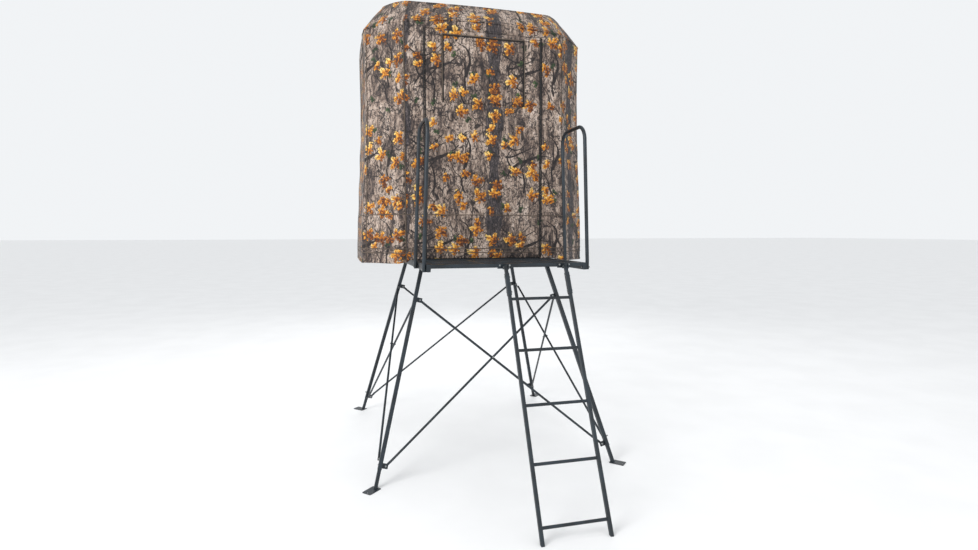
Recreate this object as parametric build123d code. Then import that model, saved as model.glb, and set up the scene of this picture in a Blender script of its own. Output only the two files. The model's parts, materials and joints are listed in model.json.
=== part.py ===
from build123d import *
import math
import os

# A four-legged hunting tower in millimetres: braced tube legs with telescoping feet, a platform
# with a porch, two handrails, a swinging ladder and an eight-sided cloth blind on a tube frame.
# X points right, Y points away from the ladder, Z points up. The pieces are drawn about the
# centre of the four legs; one shift at the end puts the origin under the middle of the whole.

# Legs
FOOT_SPREAD = (998.0, 1016.0)
HEAD_SPREAD = (558.0, 545.0)
HEAD_Z = 1670.0
LEG_SIZE, LEG_WALL, LEG_END_Z = 32.0, 1.5, 130.0
INNER_SIZE, INNER_WALL, INNER_TOP_Z = 28.0, 2.0, 520.0
HEAD_PLATE = (74.0, 6.0)
FOOT_LENGTH, FOOT_WIDTH, FOOT_THICK, FOOT_HEEL = 125.0, 82.0, 5.0, 20.0
ANCHOR_REACH, ANCHOR_R = 86.0, 8.0
CLAMP_Z = 205.0

# Braces
JOINT_LOW_Z, JOINT_HIGH_Z = 161.0, 1404.0
TAB_WIDTH, TAB_HEIGHT, TAB_THICK, TAB_START = 45.0, 40.0, 4.0, 15.0
JOINT_REACH = 42.0
BRACE_R, BRACE_WALL = 9.5, 1.5
END_FLAT, END_THICK, END_MARGIN, TUBE_START = 62.0, 4.0, 12.0, 38.0

# Fasteners
BOLT_R, HOLE_R = 4.0, 4.3
BOLT_HEAD_R, BOLT_HEAD_H = 7.5, 5.0
PIVOT_R, PIVOT_HOLE_R = 5.0, 5.05

# Platform
RAIL_X, RAIL_WIDTH, RAIL_WALL = 596.5, 30.0, 2.0
DECK_Z = 1725.0
BEAM_TOP_Z = 1710.0
PLATFORM_FRONT, PLATFORM_REAR = -1250.0, 1008.0
FRONT_TUBE = 25.0
FRONT_BEAM_Y, LEG_BEAM_Y = -842.0, 545.0
BEAM_WIDTH, LEG_BEAM_WIDTH = 30.0, 40.0
DECK_PLATE, DECK_EDGE, DECK_PLAY = 3.0, 20.0, 2.0
SLOT_WIDTH, SLOT_PITCH, SLOT_COLUMNS = 30.0, 42.0, 3

# Handrails
HANDRAIL_R, HANDRAIL_WALL = 14.0, 2.0
HANDRAIL_FOOT_X, HANDRAIL_TOP_X = 641.0, 604.0
HANDRAIL_INNER_Y, HANDRAIL_OUTER_Y = -777.0, -1225.0
HANDRAIL_KNEE_Z, HANDRAIL_TOP_Z = 1740.0, 2780.0
HANDRAIL_BENDS = (30.0, 110.0)
HANDRAIL_BOLT_Z = 1688.0

# Ladder
LADDER_X, LADDER_SPACING = 197.0, 475.0
LADDER_FOOT_Y, LADDER_LEAN = -2100.0, 0.47917
LADDER_TOP_Z = 1715.0
STILE_SIZE, STILE_WALL = 25.0, 1.5
RUNG_Z, RUNG_PITCH, RUNG_COUNT = 91.0, 346.0, 5
RUNG_R, RUNG_WALL = 11.0, 1.5
SLEEVE_SIZE, SLEEVE_BORE = 31.0, 25.4
SLEEVE_Z = (1500.0, 1655.0)
SLEEVE_BOLTS_Z = (1525.0, 1630.0)
PIVOT_Z = 1700.0
EAR_GAP, EAR_THICK, EAR_REACH = 0.7, 4.0, 54.0
FLANGE_HALF, FLANGE_THICK, SCREW_OFFSET = 55.0, 4.0, 38.0

# Blind
BLIND_HALF = 985.0
BLIND_FRONT, BLIND_REAR = -490.0, 1013.0
CHAMFER = 282.0
CLOTH = 4.0
HEM_Z, EAVE_Z = 1728.0, 3700.0
ROOF_INSET, ROOF_Z = 165.0, 3915.0
CROWN_SCALE, CROWN_Z = 0.25, 3985.0
ROOF_DROP = 6.0
RING_INSET, RING_SIZE, RING_WALL = 8.0, 25.0, 2.0
TOP_RING_Z = 3670.0
ROOF_RING_INSET, ROOF_RING_WIDTH, ROOF_RING_Z = 180.0, 22.0, 3880.0
POST_R, RAFTER_R, POLE_WALL = 10.0, 8.0, 1.5
BOW_Z = (3890.0, 3955.0)
ARMS_Y = (-170.0, 690.0)

# Door and windows
DOOR_HALF, DOOR_SILL_Z, DOOR_HEAD_Z = 515.0, 1735.0, 3652.0
GAP = 2.0
FLAP = 3.0
WINDOW_SILL_Z, WINDOW_HEAD_Z = 3050.0, 3610.0
DOOR_WINDOW_HALF, REAR_WINDOW_HALF = 360.0, 420.0
SIDE_WINDOW_Y = (-40.0, 560.0)

X_AXIS, Y_AXIS, Z_AXIS = Vector(1, 0, 0), Vector(0, 1, 0), Vector(0, 0, 1)
LEGS = {
    "front_left": (-1, -1),
    "front_right": (1, -1),
    "rear_left": (-1, 1),
    "rear_right": (1, 1),
}
FACES = {
    "front": ("front_left", "front_right"),
    "rear": ("rear_left", "rear_right"),
    "left": ("front_left", "rear_left"),
    "right": ("front_right", "rear_right"),
}
SIDES = {"left": -1, "right": 1}

nodes = {}


def box(x_range, y_range, z_range):
    """A block between two values on each axis."""
    spans = [max(pair) - min(pair) for pair in (x_range, y_range, z_range)]
    middle = [sum(pair) / 2 for pair in (x_range, y_range, z_range)]
    return Pos(*middle) * Box(*spans)


def cylinder(start, end, radius):
    """A solid cylinder between two points."""
    return extrude(Plane(origin=start, z_dir=end - start) * Circle(radius), (end - start).length)


def square_tube(start, end, size, wall, across=X_AXIS, corner=3.0):
    """A rectangular tube between two points; its width lies along the direction `across`."""
    axis = (end - start).normalized()
    side = (across - axis * across.dot(axis)).normalized()
    width, depth = size
    outer = RectangleRounded(width, depth, corner)
    inner = RectangleRounded(width - 2 * wall, depth - 2 * wall, max(corner - wall, 0.4))
    return extrude(Plane(origin=start, x_dir=side, z_dir=axis) * (outer - inner), (end - start).length)


def round_tube(start, end, radius, wall):
    """A round tube between two points, open at both ends."""
    ring = Circle(radius) - Circle(radius - wall)
    return extrude(Plane(origin=start, z_dir=end - start) * ring, (end - start).length)


def hole(centre, axis, radius, length=90.0):
    """The cylinder that drills a hole centred on a point."""
    half = axis.normalized() * (length / 2)
    return cylinder(centre - half, centre + half, radius)


def hexagon(start, axis, radius, height):
    """A six-sided head or nut that stands on `start`."""
    return extrude(Plane(origin=start, z_dir=axis) * RegularPolygon(radius, 6), height)


def bolt(centre, axis, grip, radius=BOLT_R, head=BOLT_HEAD_R, collar=0.0):
    """A bolt through a grip centred on a point, with its head, its nut and an optional collar."""
    axis = axis.normalized()
    half = axis * (grip / 2)
    tip = axis * (grip / 2 + BOLT_HEAD_H + 3)
    part = cylinder(centre - half, centre + tip, radius)
    part += hexagon(centre - half - axis * BOLT_HEAD_H, axis, head, BOLT_HEAD_H)
    part += hexagon(centre + half, axis, head, BOLT_HEAD_H)
    if collar:
        part += cylinder(centre - axis * (collar / 2), centre + axis * (collar / 2), radius + 5)
    return part


def screw(face, axis, length):
    """A screw whose head stands on a face; the axis points out of the head."""
    axis = axis.normalized()
    return cylinder(face - axis * length, face, BOLT_R) + hexagon(face, axis, BOLT_HEAD_R, BOLT_HEAD_H)


def group(parts):
    """Several separate solids of one kind kept together in one node."""
    return Compound([solid for part in parts for solid in part.solids()])


# Legs

def leg_point(leg, height):
    """A point on a leg's centre line."""
    side, end = LEGS[leg]
    share = height / HEAD_Z
    x = FOOT_SPREAD[0] + (HEAD_SPREAD[0] - FOOT_SPREAD[0]) * share
    y = FOOT_SPREAD[1] + (HEAD_SPREAD[1] - FOOT_SPREAD[1]) * share
    return Vector(side * x, end * y, height)


def leg_axis(leg):
    """The upward direction of a leg."""
    return (leg_point(leg, HEAD_Z) - leg_point(leg, 0)).normalized()


def face_normal(face):
    """The outward normal of the sloping plane through the two legs of a face."""
    first, second = FACES[face]
    across = leg_point(second, 0) - leg_point(first, 0)
    normal = leg_axis(first).cross(across).normalized()
    outward = leg_point(first, 0) + leg_point(second, 0)
    return normal if normal.dot(outward) > 0 else normal * -1


def tab_direction(face, leg):
    """The direction in the plane of a face that leaves a leg square towards the other leg."""
    direction = leg_axis(leg).cross(face_normal(face)).normalized()
    first, second = FACES[face]
    other = second if leg == first else first
    inward = leg_point(other, 0) - leg_point(leg, 0)
    return direction if direction.dot(inward) > 0 else direction * -1


def joint_point(face, leg, height):
    """The centre of the bolt that joins a brace of a face to a leg."""
    return leg_point(leg, height) + tab_direction(face, leg) * JOINT_REACH


def brace_tab(face, leg, height):
    """A drilled tab that stands on a leg in the plane of a face."""
    direction, normal = tab_direction(face, leg), face_normal(face)
    middle = leg_point(leg, height) + direction * (TAB_START + TAB_WIDTH / 2)
    plane = Plane(origin=middle - normal * (TAB_THICK / 2), x_dir=direction, z_dir=normal)
    plate = extrude(plane * RectangleRounded(TAB_WIDTH, TAB_HEIGHT, 4), TAB_THICK)
    return plate - hole(joint_point(face, leg, height), normal, HOLE_R)


def leg_side(leg):
    """The outward direction, square to a leg, along the width of its tube."""
    side, axis = LEGS[leg][0], leg_axis(leg)
    return (X_AXIS - axis * X_AXIS.dot(axis)).normalized() * side


def upper_leg(leg):
    """The fixed tube of a leg with its head plate and four brace tabs."""
    bottom, top = leg_point(leg, LEG_END_Z), leg_point(leg, HEAD_Z + 30)
    plate_z = HEAD_Z - HEAD_PLATE[1]
    part = square_tube(bottom, top, (LEG_SIZE, LEG_SIZE), LEG_WALL)
    part = split(part, bisect_by=Plane.XY.offset(plate_z), keep=Keep.BOTTOM)
    for face, pair in FACES.items():
        if leg in pair:
            part += brace_tab(face, leg, JOINT_LOW_Z)
            part += brace_tab(face, leg, JOINT_HIGH_Z)
    head = leg_point(leg, HEAD_Z)
    half = HEAD_PLATE[0] / 2
    part += box((head.X - half, head.X + half), (head.Y - half, head.Y + half), (plate_z, HEAD_Z))
    clamp = leg_point(leg, CLAMP_Z) + leg_side(leg) * (LEG_SIZE / 2)
    return part - hole(clamp, leg_side(leg), HOLE_R, 12)


def lower_leg(leg):
    """The sliding tube of a leg, cut level and welded to its drilled foot plate."""
    top = leg_point(leg, INNER_TOP_Z)
    part = square_tube(leg_point(leg, -40), top, (INNER_SIZE, INNER_SIZE), INNER_WALL)
    part = split(part, bisect_by=Plane.XY.offset(FOOT_THICK), keep=Keep.TOP)
    side, end = LEGS[leg]
    outward = Vector(side, end, 0).normalized()
    middle = leg_point(leg, 0) + outward * (FOOT_LENGTH / 2 - FOOT_HEEL)
    plane = Plane(origin=middle, x_dir=outward, z_dir=Z_AXIS)
    part += extrude(plane * RectangleRounded(FOOT_LENGTH, FOOT_WIDTH, 8), FOOT_THICK)
    return part - hole(leg_point(leg, 0) + outward * ANCHOR_REACH, Z_AXIS, ANCHOR_R)


def clamp_bolt(leg):
    """The bolt and welded nut that clamp a leg's sliding tube."""
    side = leg_side(leg)
    axis_point = leg_point(leg, CLAMP_Z)
    part = cylinder(axis_point + side * 14.4, axis_point + side * 32, BOLT_R)
    part += hexagon(axis_point + side * (LEG_SIZE / 2), side, BOLT_HEAD_R, 6)
    return part + hexagon(axis_point + side * 28, side, BOLT_HEAD_R, BOLT_HEAD_H)


def brace(start, end, outward):
    """A brace between two bolts: a round tube beside the tab plane with flat drilled ends."""
    length = (end - start).length
    tube_length = length - 2 * TUBE_START
    lift = TAB_THICK / 2
    tube_plane = Plane(origin=(TUBE_START, 0, lift + BRACE_R), z_dir=(1, 0, 0))
    bore_plane = Plane(origin=(TUBE_START + 3, 0, lift + BRACE_R), z_dir=(1, 0, 0))
    part = extrude(tube_plane * Circle(BRACE_R), tube_length)
    part -= extrude(bore_plane * Circle(BRACE_R - BRACE_WALL), tube_length - 6)
    for near in (END_FLAT / 2 - END_MARGIN, length - END_FLAT / 2 + END_MARGIN):
        flat = Pos(near, 0, lift) * RectangleRounded(END_FLAT, 2 * BRACE_R, 6)
        part += extrude(flat, END_THICK)
    for along in (0, length):
        part -= hole(Vector(along, 0, 0), Z_AXIS, HOLE_R)
    return Plane(origin=start, x_dir=end - start, z_dir=outward) * part


for leg in LEGS:
    nodes[f"upper_leg_{leg}"] = upper_leg(leg)
    nodes[f"lower_leg_{leg}"] = lower_leg(leg)
nodes["clamp_bolts"] = group([clamp_bolt(leg) for leg in LEGS])

brace_bolts = []
for face, (first, second) in FACES.items():
    normal = face_normal(face)
    for label, low, high, outward in (
        ("outer", first, second, normal),
        ("inner", second, first, normal * -1),
    ):
        start = joint_point(face, low, JOINT_LOW_Z)
        end = joint_point(face, high, JOINT_HIGH_Z)
        nodes[f"brace_{face}_{label}"] = brace(start, end, outward)
        for joint in (start, end):
            middle = joint + outward * (END_THICK / 2)
            brace_bolts.append(bolt(middle, outward, TAB_THICK + END_THICK))

# The two braces of a face cross where both stand above the middle of that face.
for face, (first, second) in FACES.items():
    start, end = joint_point(face, first, JOINT_LOW_Z), joint_point(face, second, JOINT_HIGH_Z)
    middle = (leg_point(first, 0) + leg_point(second, 0)) * 0.5
    across = (leg_point(second, 0) - leg_point(first, 0)).normalized()
    share = (middle - start).dot(across) / (end - start).dot(across)
    crossing = start + (end - start) * share
    for label in ("outer", "inner"):
        nodes[f"brace_{face}_{label}"] -= hole(crossing, face_normal(face), HOLE_R)
    grip = 2 * (TAB_THICK / 2 + 2 * BRACE_R)
    brace_bolts.append(bolt(crossing, face_normal(face), grip, collar=TAB_THICK - 0.4))
nodes["brace_bolts"] = group(brace_bolts)


# Platform

def beam(y, width, z_range):
    """A tube between the side rails, centred on y."""
    height = (z_range[0] + z_range[1]) / 2
    start, end = Vector(-RAIL_X, y, height), Vector(RAIL_X, y, height)
    return square_tube(start, end, (width, z_range[1] - z_range[0]), RAIL_WALL, across=Y_AXIS)


def side_rail(side):
    """A long side rail with closed ends, drilled for its handrail."""
    x, z = side * (RAIL_X + RAIL_WIDTH / 2), (HEAD_Z + DECK_Z) / 2
    start, end = Vector(x, PLATFORM_FRONT, z), Vector(x, PLATFORM_REAR, z)
    size = (RAIL_WIDTH, DECK_Z - HEAD_Z)
    part = square_tube(start, end, size, RAIL_WALL)
    for cap in (start, end - Y_AXIS * 3):
        part += extrude(Plane(origin=cap, x_dir=X_AXIS, z_dir=Y_AXIS) * RectangleRounded(*size, 3), 3)
    for y in (HANDRAIL_INNER_Y, HANDRAIL_OUTER_Y):
        part -= hole(Vector(x, y, HANDRAIL_BOLT_Z), X_AXIS, HOLE_R)
    return part


def deck_panel(y_range):
    """A slotted deck plate with a frame turned down along its edges."""
    half = RAIL_X - DECK_PLAY
    front, rear = y_range
    part = box((-half, half), y_range, (BEAM_TOP_Z, DECK_Z))
    inside = ((-half + DECK_EDGE, half - DECK_EDGE), (front + DECK_EDGE, rear - DECK_EDGE))
    part -= box(*inside, (BEAM_TOP_Z - 5, DECK_Z - DECK_PLATE))
    bay = (2 * half - (SLOT_COLUMNS + 1) * DECK_EDGE) / SLOT_COLUMNS
    rows = int((rear - front - 2 * DECK_EDGE + SLOT_PITCH - SLOT_WIDTH - 10) // SLOT_PITCH)
    slots = []
    for column in range(SLOT_COLUMNS):
        x = (column - (SLOT_COLUMNS - 1) / 2) * (bay + DECK_EDGE)
        for row in range(rows):
            y = (front + rear) / 2 + (row - (rows - 1) / 2) * SLOT_PITCH
            slots.append(Pos(x, y, DECK_Z) * Box(bay - 8, SLOT_WIDTH, 4 * DECK_PLATE))
    return part - slots


for name, side in SIDES.items():
    nodes[f"side_rail_{name}"] = side_rail(side)
front_tube_y = PLATFORM_FRONT + FRONT_TUBE / 2
rear_beam_y = PLATFORM_REAR - BEAM_WIDTH / 2
front_tube = beam(front_tube_y, FRONT_TUBE, (DECK_Z - FRONT_TUBE, DECK_Z))
nodes["front_beam"] = beam(FRONT_BEAM_Y, BEAM_WIDTH, (HEAD_Z, BEAM_TOP_Z))
nodes["leg_beam_front"] = beam(-LEG_BEAM_Y, LEG_BEAM_WIDTH, (HEAD_Z, BEAM_TOP_Z))
nodes["leg_beam_rear"] = beam(LEG_BEAM_Y, LEG_BEAM_WIDTH, (HEAD_Z, BEAM_TOP_Z))
nodes["rear_beam"] = beam(rear_beam_y, BEAM_WIDTH, (HEAD_Z, BEAM_TOP_Z))
nodes["deck_porch"] = deck_panel((PLATFORM_FRONT + FRONT_TUBE, FRONT_BEAM_Y - 1))
nodes["deck_middle"] = deck_panel((FRONT_BEAM_Y + 1, LEG_BEAM_Y - 1))
nodes["deck_rear"] = deck_panel((LEG_BEAM_Y + 1, PLATFORM_REAR - 2))


# Handrails

def handrail(side):
    """A bent tube: two uprights that lean inwards and one level top."""
    foot, top = side * HANDRAIL_FOOT_X, side * HANDRAIL_TOP_X
    outline = [(foot, HANDRAIL_INNER_Y, HEAD_Z), (foot, HANDRAIL_INNER_Y, HANDRAIL_KNEE_Z)]
    outline += [(top, HANDRAIL_INNER_Y, HANDRAIL_TOP_Z), (top, HANDRAIL_OUTER_Y, HANDRAIL_TOP_Z)]
    outline += [(foot, HANDRAIL_OUTER_Y, HANDRAIL_KNEE_Z), (foot, HANDRAIL_OUTER_Y, HEAD_Z)]
    knee, bend = HANDRAIL_BENDS
    path = FilletPolyline(*outline, radius=[knee, bend, bend, knee])
    start = Plane(origin=outline[0], z_dir=Z_AXIS)
    part = sweep(start * Circle(HANDRAIL_R), path=path)
    part -= sweep(start * Circle(HANDRAIL_R - HANDRAIL_WALL), path=path)
    for y in (HANDRAIL_INNER_Y, HANDRAIL_OUTER_Y):
        part -= hole(Vector(foot, y, HANDRAIL_BOLT_Z), X_AXIS, HOLE_R)
    return part


frame_bolts = []
for name, side in SIDES.items():
    nodes[f"handrail_{name}"] = handrail(side)
    outer_x = HANDRAIL_FOOT_X + HANDRAIL_R
    for y in (HANDRAIL_INNER_Y, HANDRAIL_OUTER_Y):
        middle = Vector(side * (RAIL_X + outer_x) / 2, y, HANDRAIL_BOLT_Z)
        frame_bolts.append(bolt(middle, X_AXIS * side, outer_x - RAIL_X))


# Ladder

def ladder_point(x, height):
    """A point in the middle plane of the ladder."""
    return Vector(x, LADDER_FOOT_Y + LADDER_LEAN * height, height)


def stile(x):
    """A ladder rail, cut level at the ground and drilled for its pivot and sleeve bolts."""
    start, end = ladder_point(x, -30), ladder_point(x, LADDER_TOP_Z)
    part = square_tube(start, end, (STILE_SIZE, STILE_SIZE), STILE_WALL)
    part = split(part, bisect_by=Plane.XY, keep=Keep.TOP)
    part -= hole(ladder_point(x, PIVOT_Z), X_AXIS, PIVOT_HOLE_R)
    for height in SLEEVE_BOLTS_Z:
        part -= hole(ladder_point(x, height), X_AXIS, HOLE_R)
    return part


def sleeve(x):
    """The sleeve that stiffens the joint in a ladder rail."""
    wall = (SLEEVE_SIZE - SLEEVE_BORE) / 2
    start, end = ladder_point(x, SLEEVE_Z[0]), ladder_point(x, SLEEVE_Z[1])
    part = square_tube(start, end, (SLEEVE_SIZE, SLEEVE_SIZE), wall)
    for height in SLEEVE_BOLTS_Z:
        part -= hole(ladder_point(x, height), X_AXIS, HOLE_R)
    return part


def ladder_bracket(x):
    """The bracket on the front tube: a flange and two ears that hold the pivot bolt."""
    flange_y = (PLATFORM_FRONT - FLANGE_THICK, PLATFORM_FRONT)
    part = box((x - FLANGE_HALF, x + FLANGE_HALF), flange_y, (1688, DECK_Z))
    inner = STILE_SIZE / 2 + EAR_GAP
    for side in (-1, 1):
        ear_x = (x + side * inner, x + side * (inner + EAR_THICK))
        part += box(ear_x, (flange_y[0] - EAR_REACH, flange_y[0]), (1684, 1718))
        screw_point = Vector(x + side * SCREW_OFFSET, PLATFORM_FRONT, DECK_Z - FRONT_TUBE / 2)
        part -= hole(screw_point, Y_AXIS, HOLE_R)
    return part - hole(ladder_point(x, PIVOT_Z), X_AXIS, HOLE_R + 1)


pivot_bolts, sleeve_bolts = [], []
for name, side in SIDES.items():
    x = LADDER_X + side * LADDER_SPACING / 2
    nodes[f"ladder_bracket_{name}"] = ladder_bracket(x)
    nodes[f"ladder_rail_{name}"] = stile(x)
    nodes[f"ladder_sleeve_{name}"] = sleeve(x)
    pivot_grip = STILE_SIZE + 2 * (EAR_GAP + EAR_THICK)
    pivot_bolts.append(bolt(ladder_point(x, PIVOT_Z), X_AXIS, pivot_grip, radius=PIVOT_R, head=8.5))
    for height in SLEEVE_BOLTS_Z:
        sleeve_bolts.append(bolt(ladder_point(x, height), X_AXIS, SLEEVE_SIZE))
    for offset in (-SCREW_OFFSET, SCREW_OFFSET):
        face = Vector(x + offset, PLATFORM_FRONT - FLANGE_THICK, DECK_Z - FRONT_TUBE / 2)
        frame_bolts.append(screw(face, Y_AXIS * -1, 18))
        front_tube -= hole(face, Y_AXIS, HOLE_R, 20)
nodes["front_tube"] = front_tube
nodes["ladder_pivot_bolts"] = group(pivot_bolts)
nodes["sleeve_bolts"] = group(sleeve_bolts)
nodes["frame_bolts"] = group(frame_bolts)

rung_half = X_AXIS * ((LADDER_SPACING - STILE_SIZE) / 2)
rungs = []
for step in range(RUNG_COUNT):
    middle = ladder_point(LADDER_X, RUNG_Z + step * RUNG_PITCH)
    rungs.append(round_tube(middle - rung_half, middle + rung_half, RUNG_R, RUNG_WALL))
nodes["ladder_rungs"] = group(rungs)


# Blind

def plan(inset, height=0.0):
    """The eight corners of the blind moved inwards, from the left end of the front edge."""
    x = BLIND_HALF - inset
    front, rear = BLIND_FRONT + inset, BLIND_REAR - inset
    cut = CHAMFER - inset * (2 - math.sqrt(2))
    outline = [(cut - x, front), (x - cut, front), (x, front + cut), (x, rear - cut)]
    outline += [(x - cut, rear), (cut - x, rear), (-x, rear - cut), (-x, front + cut)]
    return [Vector(px, py, height) for px, py in outline]


def polygon(points):
    """A flat face through the given corners."""
    return make_face(Polyline(*points, close=True))


def prism(points, height):
    """An upright prism on a flat outline."""
    return extrude(polygon(points), height, dir=(0, 0, 1))


def frame_ring(inset, width, height, z):
    """A closed ring of hollow square tube that follows the plan of the blind."""
    part = prism(plan(inset, z), height) - prism(plan(inset + width, z), height)
    hollow = prism(plan(inset + RING_WALL, z + RING_WALL), height - 2 * RING_WALL)
    hollow -= prism(plan(inset + width - RING_WALL, z + RING_WALL), height - 2 * RING_WALL)
    return part - hollow


def wall_panel(index):
    """One upright cloth panel, mitred against its two neighbours."""
    outer, inner = plan(0, HEM_Z), plan(CLOTH, HEM_Z)
    after = (index + 1) % len(outer)
    return prism([outer[index], outer[after], inner[after], inner[index]], EAVE_Z - HEM_Z)


def roof_body(drop):
    """The space under the roof cloth, lowered by a drop: a steep band and a shallow crown."""
    middle = Vector(0, (BLIND_FRONT + BLIND_REAR) / 2, 0)
    eave = plan(0, EAVE_Z - drop)
    edge = plan(ROOF_INSET, ROOF_Z - drop)
    crown = [middle + (corner - middle) * CROWN_SCALE for corner in plan(ROOF_INSET)]
    crown = [Vector(corner.X, corner.Y, CROWN_Z - drop) for corner in crown]
    band = loft([polygon(eave), polygon(edge)], ruled=True)
    return band + loft([polygon(edge), polygon(crown)], ruled=True)


nodes["blind_base_ring"] = frame_ring(RING_INSET, RING_SIZE, RING_SIZE, DECK_Z)
nodes["blind_top_ring"] = frame_ring(RING_INSET, RING_SIZE, RING_SIZE, TOP_RING_Z)
nodes["blind_roof_ring"] = frame_ring(ROOF_RING_INSET, ROOF_RING_WIDTH, 20.0, ROOF_RING_Z)

pole_inset = RING_INSET + RING_SIZE / 2
posts, rafters = [], []
rafter_low_z, rafter_high_z = TOP_RING_Z + RING_SIZE, ROOF_RING_Z
rafter_high_inset = ROOF_RING_INSET + ROOF_RING_WIDTH / 2
for low, high in zip(plan(pole_inset), plan(rafter_high_inset)):
    post_base = low + Z_AXIS * (DECK_Z + RING_SIZE)
    posts.append(round_tube(post_base, low + Z_AXIS * TOP_RING_Z, POST_R, POLE_WALL))
    start, end = low + Z_AXIS * rafter_low_z, high + Z_AXIS * rafter_high_z
    reach = (end - start) * 0.15
    rafter = round_tube(start - reach, end + reach, RAFTER_R, POLE_WALL)
    rafter = split(rafter, bisect_by=Plane.XY.offset(rafter_low_z), keep=Keep.TOP)
    rafters.append(split(rafter, bisect_by=Plane.XY.offset(rafter_high_z), keep=Keep.BOTTOM))
nodes["blind_posts"] = group(posts)
nodes["blind_rafters"] = group(rafters)

bow_end = BLIND_HALF - ROOF_RING_INSET - ROOF_RING_WIDTH
bow_y = (BLIND_FRONT + BLIND_REAR) / 2
bow_low, bow_high = BOW_Z
bow_reach = bow_end + RAFTER_R
bow_path = ThreePointArc((-bow_reach, bow_y, bow_low), (0, bow_y, bow_high), (bow_reach, bow_y, bow_low))
bow = sweep(Plane(origin=bow_path @ 0, z_dir=bow_path % 0) * Circle(RAFTER_R), path=bow_path)
bow = split(bow, bisect_by=Plane.YZ.offset(bow_end), keep=Keep.BOTTOM)
nodes["blind_roof_bow"] = split(bow, bisect_by=Plane.YZ.offset(-bow_end), keep=Keep.TOP)

arm_end = BLIND_HALF - RING_INSET - RING_SIZE
arms = []
for side in SIDES.values():
    for y in ARMS_Y:
        start = Vector(side * RAIL_X, y, DECK_Z + RING_SIZE / 2)
        end = Vector(side * arm_end, y, DECK_Z + RING_SIZE / 2)
        arms.append(square_tube(start, end, (RING_SIZE, RING_SIZE), RING_WALL, across=Y_AXIS))
nodes["blind_arms"] = group(arms)

# Cloth walls, numbered from the front edge towards the right
front_in, rear_in, side_in = BLIND_FRONT + CLOTH, BLIND_REAR - CLOTH, BLIND_HALF - CLOTH
window_z = (WINDOW_SILL_Z, WINDOW_HEAD_Z)
flap_z = (WINDOW_SILL_Z + GAP, WINDOW_HEAD_Z - GAP)

doorway = box((-DOOR_HALF, DOOR_HALF), (BLIND_FRONT - 5, front_in + 5), (HEM_Z - 5, DOOR_HEAD_Z))
nodes["cover_front"] = wall_panel(0) - doorway
rear_window = box((-REAR_WINDOW_HALF, REAR_WINDOW_HALF), (rear_in - 5, BLIND_REAR + 5), window_z)
nodes["cover_rear"] = wall_panel(4) - rear_window
side_flap_y = (SIDE_WINDOW_Y[0] + GAP, SIDE_WINDOW_Y[1] - GAP)
for name, index in (("right", 2), ("left", 6)):
    side = SIDES[name]
    cut = box((side * (side_in - 5), side * (BLIND_HALF + 5)), SIDE_WINDOW_Y, window_z)
    nodes[f"cover_{name}"] = wall_panel(index) - cut
    nodes[f"window_flap_{name}"] = box((side * side_in, side * (side_in + FLAP)), side_flap_y, flap_z)
nodes["cover_corners"] = group([wall_panel(index) for index in (1, 3, 5, 7)])
nodes["cover_roof"] = roof_body(0) - roof_body(ROOF_DROP)

door_half = DOOR_HALF - GAP
door = box((-door_half, door_half), (BLIND_FRONT, front_in), (DOOR_SILL_Z, DOOR_HEAD_Z - GAP))
door_window = box((-DOOR_WINDOW_HALF, DOOR_WINDOW_HALF), (BLIND_FRONT - 5, front_in + 5), window_z)
nodes["door_flap"] = door - door_window
flap_half = DOOR_WINDOW_HALF - GAP
nodes["window_flap_door"] = box((-flap_half, flap_half), (front_in - FLAP, front_in), flap_z)
flap_half = REAR_WINDOW_HALF - GAP
nodes["window_flap_rear"] = box((-flap_half, flap_half), (rear_in, rear_in + FLAP), flap_z)

# One shift puts the origin under the middle of the whole object
whole = Compound([solid for part in nodes.values() for solid in part.solids()]).bounding_box()
shift = Vector(-(whole.min.X + whole.max.X) / 2, -(whole.min.Y + whole.max.Y) / 2, -whole.min.Z)
os.makedirs("parts", exist_ok=True)
for name, part in nodes.items():
    export_step(Pos(*shift) * part, f"parts/{name}.step")
print(f"{len(nodes)} nodes, size {whole.size}, shift {shift}")
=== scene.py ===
import json
import logging
import math
import random
from dataclasses import dataclass, field, replace
from enum import Enum
from typing import Sequence, Union

import bpy
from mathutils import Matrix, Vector, noise

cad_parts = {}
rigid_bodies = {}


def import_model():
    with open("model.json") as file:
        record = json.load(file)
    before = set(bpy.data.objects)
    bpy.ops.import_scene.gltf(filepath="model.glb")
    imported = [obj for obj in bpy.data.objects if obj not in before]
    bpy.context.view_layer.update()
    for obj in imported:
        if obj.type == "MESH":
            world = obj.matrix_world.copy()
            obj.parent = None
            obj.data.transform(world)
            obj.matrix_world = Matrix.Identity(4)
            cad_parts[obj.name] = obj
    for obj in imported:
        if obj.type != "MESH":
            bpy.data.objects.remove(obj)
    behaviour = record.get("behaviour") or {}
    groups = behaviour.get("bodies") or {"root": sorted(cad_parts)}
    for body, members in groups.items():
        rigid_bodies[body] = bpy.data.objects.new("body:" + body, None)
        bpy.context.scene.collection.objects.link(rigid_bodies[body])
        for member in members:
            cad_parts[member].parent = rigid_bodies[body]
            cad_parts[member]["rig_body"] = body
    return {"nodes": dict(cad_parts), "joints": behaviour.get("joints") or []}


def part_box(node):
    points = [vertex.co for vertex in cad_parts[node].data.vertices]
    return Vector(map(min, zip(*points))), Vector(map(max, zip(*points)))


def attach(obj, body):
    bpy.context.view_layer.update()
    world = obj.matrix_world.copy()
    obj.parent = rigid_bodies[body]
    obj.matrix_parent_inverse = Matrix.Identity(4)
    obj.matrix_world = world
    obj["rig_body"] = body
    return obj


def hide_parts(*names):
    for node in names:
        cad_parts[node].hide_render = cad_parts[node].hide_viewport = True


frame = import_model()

# Looks of a four-legged hunting tower: printed cloth blind, painted tube frame, studio and camera.

LOG = logging.getLogger("tower")
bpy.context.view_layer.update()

Socket = bpy.types.NodeSocket
Value = Union[float, Socket]
Colour = tuple[float, float, float]


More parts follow.
